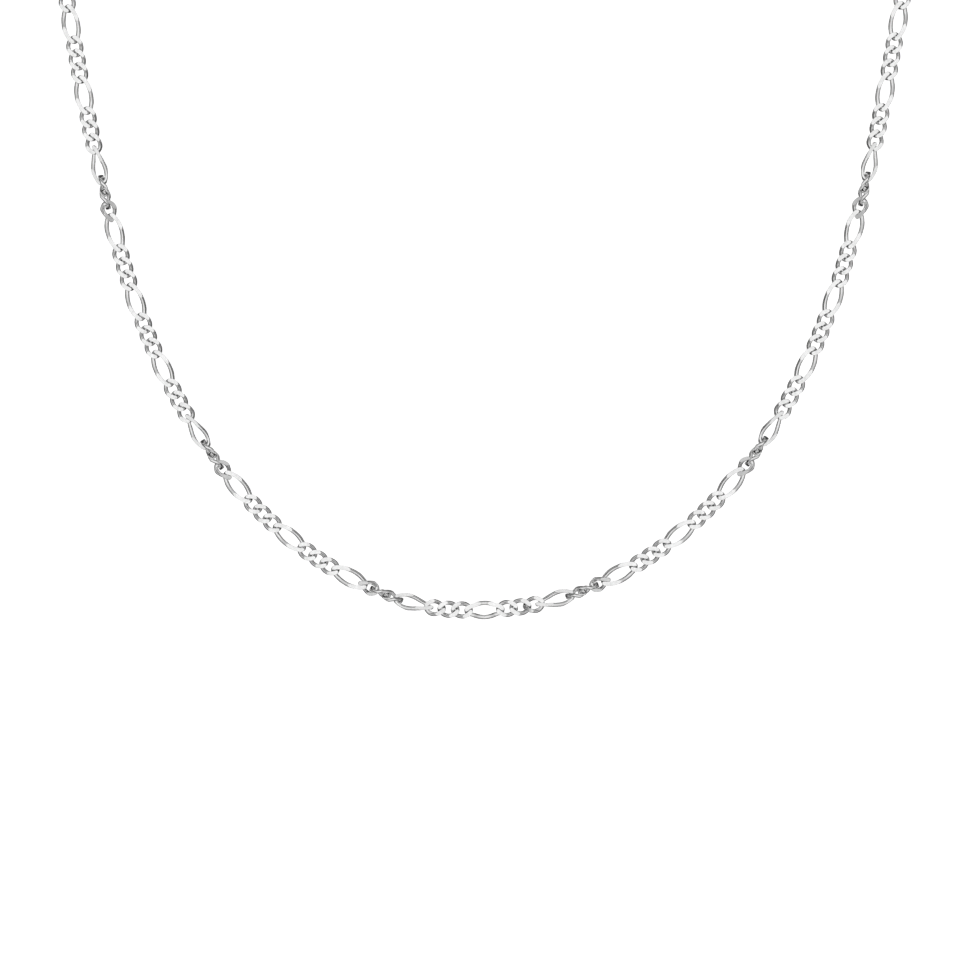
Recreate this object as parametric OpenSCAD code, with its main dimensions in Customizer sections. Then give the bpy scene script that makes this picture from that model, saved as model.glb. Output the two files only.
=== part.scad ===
/* [Chain] */
// Width of the chain across its small links
chain_w = 2.4; // [1.8:0.1:3.2]
// Thickness of the chain from its front face to its back face
chain_t = 0.8; // [0.6:0.1:1.2]
// Corners of the chain's section
chain_corners = 8; // [8:2:12]

/* [Hang] */
// Lean of the front of the loop back from upright, in degrees
lean = 15; // [10:1:20]
// How much higher the wearer's left half of the front hangs
left_lift = 0.5; // [0:0.1:1]

/* [Clasp] */
// Outside diameter of the clasp's ring
ring_d = 5.6; // [5.2:0.1:6.4]
// Diameter of the ring's round bar
ring_bar = 1.0; // [0.8:0.1:1.2]
// Outside diameter of the eye that is soldered to the ring
eye_d = 2.2; // [2:0.1:2.6]
// Diameter of the eye's wire
eye_wire = 0.6; // [0.5:0.1:0.7]
// Gap between the clasp and each end of the chain
end_gap = 0.3; // [0.2:0.1:0.4]

/* [Hidden] */

// The loop hangs from the nape of the neck, which is the origin: Z is up and -Y is the front.
// Lowest point of the leaning front plane
front_foot = [0, -84, -122];
// Height of the middle of the chain up that plane
middle_up = 0.3;
// Front of the loop from beside its middle to the neck: distance to the side, height up the plane
front_points = [
    [8.2, 0.8], [19.6, 5.2], [29.2, 12.0], [37.3, 20.9], [43.6, 31.1],
    [48.4, 42.1], [51.9, 53.7], [54.7, 65.4], [57.0, 77.2]
];
// From there round the neck to beside the nape: distance to the side, y, z
neck_points = [
    [59.0, -60.5, -36.0], [60.0, -56.0, -25.0], [59.5, -48.5, -16.0],
    [56.5, -39.0, -9.5], [51.0, -29.5, -5.0], [43.5, -20.5, -2.5],
    [34.0, -12.5, -1.0], [23.0, -6.0, 0.0], [11.0, -1.0, 0.0]
];
// Rings of the section on each step of the route
rings_per_step = 2;

// The eye overlaps the ring by this much, as solder holds it there
solder = 0.35;
clasp_len = ring_d + eye_d - solder;
// The chain takes hold inside the ring and inside the eye, and the nape is midway between the two holds
hold_to_hold = clasp_len - ring_bar - eye_wire;
ring_x = -hold_to_hold / 2 + ring_d / 2 - ring_bar;
eye_x = ring_x + ring_d / 2 - solder + eye_d / 2;
ring_end = ring_d / 2 - ring_x + end_gap;
eye_end = eye_x + eye_d / 2 + end_gap;

// Route of the chain: wearer's right end, middle, wearer's left end
function on_plane(side, up) = front_foot + [side, up * sin(lean), up * cos(lean)];
function half(side, lift, end) = concat(
    [for (p = front_points) on_plane(side * p[0], p[1] + lift)],
    [for (p = neck_points) [side * p[0], p[1], p[2]]],
    [[side * end, 0, 0]]
);
function backwards(list) = [for (i = [len(list) - 1 : -1 : 0]) list[i]];
route = concat(backwards(half(-1, 0, ring_end)), [on_plane(0, middle_up)], half(1, left_lift, eye_end));
last = len(route) - 1;
middle = last / 2;

// Smooth curve through the route: each point's heading leans to the nearer of its two neighbours
function chord(i) = norm(route[i + 1] - route[i]);
function slope(i) = (route[i + 1] - route[i]) / chord(i);
function heading(i) =
    i == 0 ? slope(0)
    : i == last ? slope(last - 1)
    : (slope(i - 1) * chord(i) + slope(i) * chord(i - 1)) / (chord(i) + chord(i - 1));
function place(i, t) =
    (2 * pow(t, 3) - 3 * pow(t, 2) + 1) * route[i]
    + (3 * pow(t, 2) - 2 * pow(t, 3)) * route[i + 1]
    + chord(i) * ((pow(t, 3) - 2 * pow(t, 2) + t) * heading(i) + (pow(t, 3) - pow(t, 2)) * heading(i + 1));
function direction(i, t) = unit(
    6 * (t - pow(t, 2)) * slope(i)
    + (3 * pow(t, 2) - 4 * t + 1) * heading(i)
    + (3 * pow(t, 2) - 2 * t) * heading(i + 1)
);
function unit(v) = v / norm(v);

// Flat face of the chain: square to the leaning plane in front, then turning to face backwards at the nape
function eased(t) = t < 0 ? 0 : t > 1 ? 1 : t * t * (3 - 2 * t);
function face_turn(step) =
    sign(step - middle) * 180 * eased((abs(step - middle) - len(front_points)) / (middle - len(front_points)));
function face(step) = [cos(lean) * sin(face_turn(step)), -cos(lean) * cos(face_turn(step)), sin(lean)];

// One ring of the section: an octagon squeezed to the chain's width and thickness
function ring(i, t) =
    let (
        along = direction(i, t),
        across = unit(cross(along, face(i + t))),
        out = cross(across, along),
        flat = cos(180 / chain_corners)
    )
    [for (k = [0 : chain_corners - 1])
        let (a = (k + 0.5) * 360 / chain_corners)
        place(i, t) + across * chain_w / 2 * cos(a) / flat + out * chain_t / 2 * sin(a) / flat];

module chain() {
    rings = [
        for (i = [0 : last - 1], j = [0 : rings_per_step - 1]) ring(i, j / rings_per_step),
        ring(last - 1, 1)
    ];
    n = chain_corners;
    top = len(rings) - 1;
    walls = [
        for (r = [0 : top - 1], k = [0 : n - 1])
            let (a = r * n + k, b = r * n + (k + 1) % n)
            for (corners = [[a, b, b + n], [a, b + n, a + n]]) corners
    ];
    ends = [[for (k = [n - 1 : -1 : 0]) k], [for (k = [0 : n - 1]) top * n + k]];
    color("silver") polyhedron([for (r = rings) each r], concat(walls, ends));
}

module round_loop(outside_d, bar) {
    rotate_extrude($fn = 96) translate([(outside_d - bar) / 2, 0]) circle(d = bar, $fn = 48);
}

module clasp() {
    color("gainsboro") rotate([lean - 90, 0, 0]) {
        translate([ring_x, 0, 0]) round_loop(ring_d, ring_bar);
        translate([eye_x, 0, 0]) round_loop(eye_d, eye_wire);
    }
}

chain();
clasp();
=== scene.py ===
import math

import bmesh
import bpy
from mathutils import Matrix, Vector


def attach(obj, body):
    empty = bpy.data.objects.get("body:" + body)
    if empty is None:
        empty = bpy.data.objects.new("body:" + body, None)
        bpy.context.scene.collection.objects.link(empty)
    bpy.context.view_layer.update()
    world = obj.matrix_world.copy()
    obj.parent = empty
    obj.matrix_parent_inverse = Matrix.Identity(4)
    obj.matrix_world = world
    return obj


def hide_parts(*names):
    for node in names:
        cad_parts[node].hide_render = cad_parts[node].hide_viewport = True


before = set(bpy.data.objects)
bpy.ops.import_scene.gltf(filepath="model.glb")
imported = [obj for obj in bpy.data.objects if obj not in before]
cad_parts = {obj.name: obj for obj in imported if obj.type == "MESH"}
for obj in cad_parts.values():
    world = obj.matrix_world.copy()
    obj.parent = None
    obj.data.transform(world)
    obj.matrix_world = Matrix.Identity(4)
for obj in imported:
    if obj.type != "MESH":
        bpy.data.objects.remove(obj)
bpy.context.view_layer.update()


# The necklace hangs from the nape, and its front lies on a plane that leans back against the chest.
# The camera looks square at that plane, with the lower curve of the chain a little above the middle.
MM = 0.001
lean = math.radians(15)
front_foot = Vector((0, -84, -122)) * MM


def on_plane(side, up):
    """A point of the leaning front plane, in millimetres to the side and up the plane."""
    return front_foot + Vector((side, up * math.sin(lean), up * math.cos(lean))) * MM


sensor = 36
camera_distance = 0.6
view_width = 134.4 * MM
toward_camera = Vector((0, -math.cos(lean), math.sin(lean)))
bpy.ops.object.camera_add(
    location=on_plane(-0.63, 18.5) + toward_camera * camera_distance,
    rotation=(math.radians(90) - lean, 0, 0),
)
camera = bpy.context.object
camera.name = "camera"
camera.data.sensor_width = sensor
camera.data.lens = sensor * camera_distance / view_width
bpy.context.scene.camera = camera


# The run of the chain is one smooth curve round the neck: the lower front on the leaning plane,
# then up over the shoulders to the clasp. The left half hangs a little higher in front.
middle_up = 0.3
left_lift = 0.5
front_points = [
    (8.2, 0.8), (19.6, 5.2), (29.2, 12.0), (37.3, 20.9), (43.6, 31.1),
    (48.4, 42.1), (51.9, 53.7), (54.7, 65.4), (57.0, 77.2),
]
neck_points = [
    (59.0, -60.5, -36.0), (60.0, -56.0, -25.0), (59.5, -48.5, -16.0),
    (56.5, -39.0, -9.5), (51.0, -29.5, -5.0), (43.5, -20.5, -2.5),
    (34.0, -12.5, -1.0), (23.0, -6.0, 0.0), (11.0, -1.0, 0.0),
]
ring_d = 5.6
ring_bar = 1.0
eye_d = 2.2
eye_wire = 0.6
solder = 0.35
end_gap = 0.3
hold_to_hold = ring_d + eye_d - solder - ring_bar - eye_wire
ring_x = -hold_to_hold / 2 + ring_d / 2 - ring_bar
eye_x = ring_x + ring_d / 2 - solder + eye_d / 2
route_end = {-1: ring_d / 2 - ring_x + end_gap, 1: eye_x + eye_d / 2 + end_gap}


def route_half(side, lift):
    front = [on_plane(side * across, up + lift) for across, up in front_points]
    neck = [Vector((side * x, y, z)) * MM for x, y, z in neck_points]
    return front + neck + [Vector((side * route_end[side], 0, 0)) * MM]


route = route_half(-1, 0)[::-1] + [on_plane(0, middle_up)] + route_half(1, left_lift)
middle = len(route) // 2
chords = [(b - a).length for a, b in zip(route, route[1:])]
slopes = [(b - a).normalized() for a, b in zip(route, route[1:])]
headings = [slopes[0]]
for step in range(1, len(route) - 1):
    before, after = chords[step - 1], chords[step]
    headings.append((slopes[step - 1] * after + slopes[step] * before) / (before + after))
headings.append(slopes[-1])


def on_route(step, t):
    """Place on the smooth curve, a share t of the way along one step of the route."""
    pull = (t ** 3 - 2 * t ** 2 + t) * headings[step] + (t ** 3 - t ** 2) * headings[step + 1]
    ease = 3 * t ** 2 - 2 * t ** 3
    return (1 - ease) * route[step] + ease * route[step + 1] + chords[step] * pull


def face_at(count):
    """Way that the chain's flat face looks: out of the leaning plane in front, backwards at the nape."""
    t = (abs(count - middle) - len(front_points)) / (middle - len(front_points))
    t = min(max(t, 0), 1)
    turn = math.copysign(math.pi, count - middle) * t * t * (3 - 2 * t)
    return Vector((math.cos(lean) * math.sin(turn), -math.cos(lean) * math.cos(turn), math.sin(lean)))


def half_run(side):
    """Samples of one half of the curve from the middle outwards: distance along it, place and face."""
    samples_per_step = 24
    samples = []
    distance = 0
    for count in range(samples_per_step * middle + 1):
        steps_out = middle + side * count / samples_per_step
        step = min(int(steps_out), len(route) - 2)
        place = on_route(step, steps_out - step)
        if samples:
            distance += (place - samples[-1][1]).length
        samples.append((distance, place, face_at(steps_out)))
    return samples


runs = {side: half_run(side) for side in (-1, 1)}


def run_at(side, distance):
    """Place and face at a distance from the middle. Past its end the curve goes straight on."""
    samples = runs[side]
    after = 1
    while samples[after][0] < distance and after < len(samples) - 1:
        after += 1
    (start, a, face_a), (end, b, face_b) = samples[after - 1], samples[after]
    t = (distance - start) / (end - start)
    return a.lerp(b, t), face_a.lerp(face_b, min(t, 1)).normalized()


# Polished sterling silver: one finish for every link and the clasp, with the faint cloudiness and
# fine criss-cross lines that a polishing wheel and wear leave on it.
class Socket:
    """A number that varies over a surface. + - * on it add Math nodes to the material."""

    def __init__(self, material, socket=None):
        self.material = material
        self.socket = socket

    def node(self, kind, settings=None, **inputs):
        """Adds a node, sets it up, and fills or links its inputs. Names use _ for a space."""
        made = self.material.node_tree.nodes.new(kind)
        for name, value in (settings or {}).items():
            setattr(made, name, value)
        for name, value in inputs.items():
            place = int(name[1:]) if name[0] == "_" else name.replace("_", " ")
            if isinstance(value, Socket):
                value = value.socket
            if isinstance(value, bpy.types.NodeSocket):
                self.material.node_tree.links.new(value, made.inputs[place])
            else:
                made.inputs[place].default_value = value
        return made

    def maths(self, operation, first, second):
        made = self.node("ShaderNodeMath", {"operation": operation}, _0=first, _1=second)
        return Socket(self.material, made.outputs[0])

    def __add__(self, other):
        return self.maths("ADD", self, other)

    __radd__ = __add__

    def __sub__(self, other):
        return self.maths("SUBTRACT", self, other)

    def __rsub__(self, other):
        return self.maths("SUBTRACT", other, self)

    def __mul__(self, other):
        return self.maths("MULTIPLY", self, other)

    __rmul__ = __mul__

    def greys(self, stops):
        """Grey levels along a ramp, by this number. Each stop is a place on it and a level, rising."""
        made = self.node("ShaderNodeValToRGB", Fac=self)
        elements = made.color_ramp.elements
        while len(elements) < len(stops):
            elements.new(0.5)
        for element, (place, level) in zip(elements, stops):
            element.position = place
            element.color = (level, level, level, 1)
        return made.outputs["Color"]


def polished_silver():
    silver = bpy.data.materials.new("polished_silver")
    silver.use_nodes = True
    shader = silver.node_tree.nodes["Principled BSDF"]
    start = Socket(silver)
    place = start.node("ShaderNodeTexCoord").outputs["Object"]

    def noise(scale, detail):
        made = start.node("ShaderNodeTexNoise", None, Vector=place, Scale=scale, Detail=detail)
        return Socket(silver, made.outputs["Factor" if "Factor" in made.outputs else "Fac"])

    cloud = noise(scale=900, detail=2)
    streak = noise(scale=3500, detail=2)
    grain = noise(scale=14000, detail=3)
    roughness = 0.02 + 0.04 * cloud + 0.02 * grain
    silver.node_tree.links.new(roughness.socket, shader.inputs["Roughness"])
    tone = 1.13 - 0.28 * cloud - 0.2 * streak
    silver.node_tree.links.new(tone.socket, shader.inputs["Base Color"])
    bump = start.node("ShaderNodeBump", None, Height=grain, Strength=0.04, Distance=0.01 * MM)
    silver.node_tree.links.new(bump.outputs["Normal"], shader.inputs["Normal"])
    shader.inputs["Metallic"].default_value = 1
    return silver


silver = polished_silver()


# Links of the chain: round silver wire closed into an oval, twisted so that its two ends cross its
# neighbours' ends, then filed flat on the front and the back. Three short links follow each long one.
# They are modelled in millimetres and brought to metres when they are laid.
wire = 0.58
filed_to = 0.40
short_link = {"length": 3.15, "width": 2.42, "end_bow": 1.4, "side_bow": 1.15}
long_link = {"length": 5.73, "width": 2.6, "end_bow": 1.45, "side_bow": 1.15}
end_twist = math.radians(61)

# How stout the bent wire is at the ends, shoulders and sides of a link, as shares of its diameter
end_wire = 1.06
shoulder_wire = 1.25
side_wire = 1.03

# Share of the turn of a link's ends that its shoulders take
shoulder_turn = 0.75


def pick_points(curve, chosen):
    """In edit mode, selects the points of a curve, with their handles, that are chosen by their place."""
    for point in curve.data.splines[0].bezier_points:
        picked = chosen(point.co)
        point.select_control_point = picked
        point.select_left_handle = picked
        point.select_right_handle = picked


def pick(shape, kind, chosen):
    """In edit mode, selects only the chosen corners, edges or faces of a shape."""
    bpy.ops.mesh.select_mode(type={"verts": "VERT", "edges": "EDGE", "faces": "FACE"}[kind])
    bpy.ops.mesh.select_all(action="DESELECT")
    mesh = bmesh.from_edit_mesh(shape.data)
    for element in getattr(mesh, kind):
        if chosen(element):
            element.select_set(True)
    bmesh.update_edit_mesh(shape.data)


def bent_ring(name, length, width, end_bow, side_bow, end_turn=0):
    """Round wire bent into an oval that lies in the XY plane, its length along X, stouter at its ends."""
    half_length = (length - wire * end_wire) / 2
    half_width = (width - wire * side_wire) / 2

    def at_end(place):
        return abs(place.y) < wire / 2

    def at_side(place):
        return abs(place.x) < wire / 2

    def at_shoulder(place):
        return not at_end(place) and not at_side(place)

    bpy.ops.object.select_all(action="DESELECT")
    bpy.ops.curve.primitive_bezier_circle_add(radius=1)
    ring = bpy.context.object
    ring.name = name
    bpy.ops.object.mode_set(mode="EDIT")
    bpy.ops.curve.select_all(action="SELECT")
    bpy.ops.curve.handle_type_set(type="ALIGNED")
    bpy.ops.transform.resize(value=(half_length, half_width, 1))
    pick_points(ring, at_end)
    bpy.ops.transform.resize(value=(1, end_bow, 1), center_override=(0, 0, 0))
    pick_points(ring, at_side)
    bpy.ops.transform.resize(value=(side_bow, 1, 1), center_override=(0, 0, 0))
    bpy.ops.curve.select_all(action="SELECT")
    bpy.ops.curve.subdivide()
    for chosen, stoutness, share in (
        (at_end, end_wire, 1), (at_shoulder, shoulder_wire, shoulder_turn), (at_side, side_wire, 0),
    ):
        pick_points(ring, chosen)
        bpy.ops.transform.transform(mode="CURVE_SHRINKFATTEN", value=(stoutness, 0, 0, 0))
        bpy.ops.transform.rotate(value=share * end_turn, orient_axis="X", center_override=(0, 0, 0))
    bpy.ops.object.mode_set(mode="OBJECT")
    ring.data.dimensions = "3D"
    ring.data.resolution_u = 5
    ring.data.bevel_depth = wire / 2
    ring.data.bevel_resolution = 6
    bpy.ops.object.convert(target="MESH")
    return bpy.context.object


def twist(ring, angle):
    """Twists a ring about its length, so that its two ends lean opposite ways."""
    bpy.ops.object.modifier_add(type="SIMPLE_DEFORM")
    bend = ring.modifiers[-1]
    bend.deform_method = "TWIST"
    bend.deform_axis = "X"
    bend.angle = 2 * angle
    bpy.ops.object.modifier_apply(modifier=bend.name)


def file_flat(link):
    """Files both faces of a link flat, rounds the new edges a little and polishes the rest smooth."""
    near = 0.0001
    snap = 0.025
    shortest_edge = 0.04
    edge_round = 0.06
    least_angle = math.radians(25)

    def on_flat(face):
        return all(abs(abs(corner.co.z) - filed_to) < near for corner in face.verts)

    def borders_flat(edge):
        return sum(on_flat(face) for face in edge.link_faces) == 1

    bpy.ops.object.mode_set(mode="EDIT")
    for side in (1, -1):
        height = side * filed_to
        pick(link, "verts", lambda corner: abs(corner.co.z - height) < snap)
        bpy.ops.transform.resize(value=(1, 1, 0), center_override=(0, 0, height))
        bpy.ops.mesh.select_all(action="SELECT")
        bpy.ops.mesh.bisect(
            plane_co=(0, 0, height), plane_no=(0, 0, side), use_fill=True, clear_outer=True,
            threshold=near,
        )
        pick(link, "verts", lambda corner: abs(corner.co.z - height) < near)
        bpy.ops.mesh.remove_doubles(threshold=shortest_edge)
    pick(link, "edges", lambda edge: borders_flat(edge) and edge.calc_face_angle() > least_angle)
    bpy.ops.mesh.bevel(offset=edge_round, segments=2, affect="EDGES", clamp_overlap=True)
    bpy.ops.object.mode_set(mode="OBJECT")
    bpy.ops.object.shade_smooth()
    bpy.ops.object.mode_set(mode="EDIT")
    pick(link, "edges", borders_flat)
    bpy.ops.mesh.mark_sharp()
    bpy.ops.object.mode_set(mode="OBJECT")


def make_link(name, hand, size):
    link = bent_ring(name, **size)
    twist(link, hand * end_twist)
    file_flat(link)
    link.data.materials.append(silver)
    return link


# Turn of each link about the chain, in degrees, where the hanging chain has rolled over. Links are
# counted from the middle one, and one that isn't listed lies flat. The last links turn step by step,
# until the very last one stands square to the clasp that it hooks into.
turned = {
    3: 167, 4: 140, 5: 113, 6: 80, 7: 40, 8: 3,
    16: 177, 17: 144, 18: 108, 19: 76, 20: 38, 21: 12,
    32: 170, 33: 144, 34: 108, 35: 76, 36: 38, 37: 12,
    77: 170, 78: 160, 79: 150, 80: 140, 81: 130, 82: 120, 83: 110, 84: 100, 85: 90, 86: 80, 87: 70, 88: 61,
}
links_a_side = 88

# Slack between two links, and how much closer together they are drawn at a roll of draw_up_angle
# against each other, where one of them is long or both are short
play = 0.04
draw_up = {"short": 0.05, "long": 0.27}
draw_up_angle = 45

# Room along the chain between the clasp's bar and the inside of the last link's end, hooked round it
seat = {-1: 0.7, 1: 0.25}


def is_long(count):
    return count % 4 == 0


def length_of(count):
    return (long_link if is_long(count) else short_link)["length"]


def link_places(side):
    """Distance of each link's centre from the middle, in millimetres. The last link's end is hooked
    round the clasp, and the links out of sight, on the neck, share out what is over."""
    loose_from = 47
    places = [0]
    for count in range(1, links_a_side + 1):
        rolled = turned.get(count - 1, 0) - turned.get(count, 0)
        rolled = (rolled + 90) % 180 - 90
        step = (length_of(count) + length_of(count - 1)) / 2 - 2 * wire * end_wire - play
        kind = "long" if is_long(count) or is_long(count - 1) else "short"
        places.append(places[-1] + step - draw_up[kind] * (rolled / draw_up_angle) ** 2)
    end_bar = ring_bar if side < 0 else eye_wire
    hold = runs[side][-1][0] / MM + end_gap + end_bar
    over = hold + seat[side] - length_of(links_a_side) / 2 + wire * end_wire - places[-1]
    for count in range(loose_from, links_a_side + 1):
        places[count] += over * (count - loose_from) / (links_a_side - loose_from)
    return places


places = {side: link_places(side) for side in (-1, 1)}


def link_matrix(side, count):
    """Where a link lies: X points along the chain to the middle, Z out of its flat face."""
    half = length_of(count) / 2 - wire
    inner, _ = run_at(side, (places[side][count] - half) * MM)
    outer, _ = run_at(side, (places[side][count] + half) * MM)
    _, face = run_at(side, places[side][count] * MM)
    along = (inner - outer).normalized()
    across = face.cross(along).normalized()
    out = along.cross(across)
    place = (inner + outer) / 2
    axes = Matrix((along, across, out)).transposed().to_4x4()
    turn = Matrix.Rotation(math.radians(-side * turned.get(count, 0)), 4, "X")
    return Matrix.Translation(place) @ axes @ turn @ Matrix.Scale(MM, 4)


def laid_links(name, link, side, counts):
    """One mesh of all the copies of a link on one side of the necklace."""
    copies = []
    for count in counts:
        mesh = link.data.copy()
        mesh.transform(link_matrix(side, count))
        copy = bpy.data.objects.new(f"{name}_{count}", mesh)
        bpy.context.collection.objects.link(copy)
        copies.append(copy)
    bpy.ops.object.select_all(action="DESELECT")
    for copy in copies:
        copy.select_set(True)
    bpy.context.view_layer.objects.active = copies[0]
    bpy.ops.object.join()
    row = bpy.context.object
    row.name = name
    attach(row, "root")
    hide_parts("chain")
    return row


half_names = {-1: "right", 1: "left"}
for side, half_name in half_names.items():
    for kind, size in (("short", short_link), ("long", long_link)):
        link = make_link("link", side, size)
        counts = [n for n in range(1, links_a_side + 1) if is_long(n) == (kind == "long")]
        laid_links(f"{kind}_links_{half_name}", link, side, counts)
        bpy.data.objects.remove(link)


# Middle link: a long one that hangs lowest. The two halves of the chain are mirror images, so both of
# its ends lean the same way, upper side forward, and its long sides lie flat.
middle_link = bent_ring("middle_link", **long_link, end_turn=-end_twist)
file_flat(middle_link)
middle_link.data.materials.append(silver)
place, face = run_at(1, 0)
along = headings[middle]
across = face.cross(along).normalized()
axes = Matrix((along, across, along.cross(across))).transposed().to_4x4()
middle_link.data.transform(Matrix.Translation(place) @ axes @ Matrix.Scale(MM, 4))
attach(middle_link, "root")
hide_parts("chain")


# Clasp: out of sight at the nape, so it is one plain piece, a round silver ring that the right half of
# the chain hooks into, with a small eye soldered to it for the left half.
def clasp_loop(outside_d, bar, x):
    bpy.ops.mesh.primitive_torus_add(
        major_radius=(outside_d - bar) / 2, minor_radius=bar / 2, major_segments=96, minor_segments=32,
        location=(x, 0, 0),
    )
    return bpy.context.object


seam_grid = 0.08
seam_smoothing = 6
bpy.ops.object.select_all(action="DESELECT")
eye = clasp_loop(eye_d, eye_wire, eye_x)
clasp = clasp_loop(ring_d, ring_bar, ring_x)
eye.select_set(True)
bpy.ops.object.join()
clasp.name = "plain_clasp"
bpy.ops.object.transform_apply()
bpy.ops.object.modifier_add(type="REMESH")
clasp.modifiers[-1].mode = "VOXEL"
clasp.modifiers[-1].voxel_size = seam_grid
bpy.ops.object.modifier_apply(modifier=clasp.modifiers[-1].name)
bpy.ops.object.modifier_add(type="SMOOTH")
clasp.modifiers[-1].iterations = seam_smoothing
bpy.ops.object.modifier_apply(modifier=clasp.modifiers[-1].name)
bpy.ops.object.shade_smooth()
clasp.data.materials.append(silver)
clasp.data.transform(Matrix.Scale(MM, 4) @ Matrix.Rotation(lean - math.radians(90), 4, "X"))
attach(clasp, "root")
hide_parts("clasp")


# Pale floor, as far down as the table that a neck would be over. It glows a little, so that it stays
# as white as the paper sweep of a jeweller's picture, and the silver doesn't mirror it.
floor_drop = 0.35
floor_size = 20
bpy.ops.object.select_all(action="DESELECT")
bpy.ops.mesh.primitive_plane_add(size=floor_size, location=(0, 0, -floor_drop))
floor = bpy.context.object
floor.name = "floor"
pale = bpy.data.materials.new("pale_floor")
pale.use_nodes = True
paint = pale.node_tree.nodes["Principled BSDF"].inputs
paint["Base Color"].default_value = (0.9, 0.9, 0.9, 1)
paint["Roughness"].default_value = 0.8
paint["Emission Color"].default_value = (1, 1, 1, 1)
paint["Emission Strength"].default_value = 0.8
floor.data.materials.append(pale)
floor.visible_glossy = False


# Soft light as in a white tent, in levels by the angle from the camera in degrees: a bright front and a
# bright ring round it with a dimmer gap between them, dark to the sides, and bright again behind. Flat
# faces shine white, rolled ones too, and round wire shows a pale line along its middle and dark edges.
paper = 1.02
tent = [
    (0, 0.96), (30, 0.93), (47, 0.7), (57, 0.26), (66, 0.34), (72, 0.86), (81, 0.84), (86, 0.1), (92, 0.02),
    (128, 0.03), (141, 0.45), (180, 0.65),
]
world = bpy.data.worlds.new("studio")
world.use_nodes = True
bpy.context.scene.world = world
light = Socket(world)
way = light.node("ShaderNodeTexCoord").outputs["Generated"]
toward = light.node(
    "ShaderNodeVectorMath", {"operation": "DOT_PRODUCT"}, _0=way, _1=tuple(toward_camera)
)
nearness = 0.5 + 0.5 * Socket(world, toward.outputs["Value"])
tent_light = nearness.greys(
    [(0.5 + 0.5 * math.cos(math.radians(angle)), level) for angle, level in reversed(tent)]
)
seen = light.node("ShaderNodeLightPath").outputs["Is Camera Ray"]
backdrop = light.node(
    "ShaderNodeMix", {"data_type": "RGBA"}, Factor=seen, _6=tent_light, _7=(paper, paper, paper, 1)
)
world.node_tree.links.new(backdrop.outputs[2], world.node_tree.nodes["Background"].inputs["Color"])

# Grey banded cards, edge on to the camera in front of the middle of the loop. Only the silver mirrors
# them, so the sides of the long links that face inwards show a dark, hatched stripe.
cards = [
    {"forward": 45, "up": 23, "depth": 70, "height": 40},
    {"forward": 60, "up": 51, "depth": 44, "height": 16},
]
card_thickness = 0.4
bands = [
    (0, 0.3), (0.1, 0.06), (0.2, 0.28), (0.3, 0.05), (0.4, 0.25), (0.5, 0.06), (0.6, 0.25), (0.7, 0.05),
    (0.8, 0.25), (0.9, 0.06), (1, 0.1),
]
grey = bpy.data.materials.new("grey_card")
grey.use_nodes = True
paint = grey.node_tree.nodes["Principled BSDF"].inputs
place = Socket(grey).node("ShaderNodeTexCoord").outputs["Object"]
backward = Socket(grey, Socket(grey).node("ShaderNodeSeparateXYZ", Vector=place).outputs["Y"])
banded = (0.5 + backward).greys(bands)
paint["Base Color"].default_value = (0, 0, 0, 1)
paint["Specular IOR Level"].default_value = 0
paint["Emission Strength"].default_value = 1
grey.node_tree.links.new(banded, paint["Emission Color"])
for size in cards:
    bpy.ops.object.select_all(action="DESELECT")
    bpy.ops.mesh.primitive_cube_add(
        size=1, location=on_plane(0, size["up"]) + toward_camera * size["forward"] * MM,
        rotation=(-lean, 0, 0), scale=Vector((card_thickness, size["depth"], size["height"])) * MM,
    )
    card = bpy.context.object
    card.name = "grey_card"
    card.data.materials.append(grey)
    card.visible_camera = False
    card.visible_diffuse = False
    card.visible_shadow = False

# The levels above are shown as they are, so that white paper stays white.
bpy.context.scene.view_settings.view_transform = "Standard"
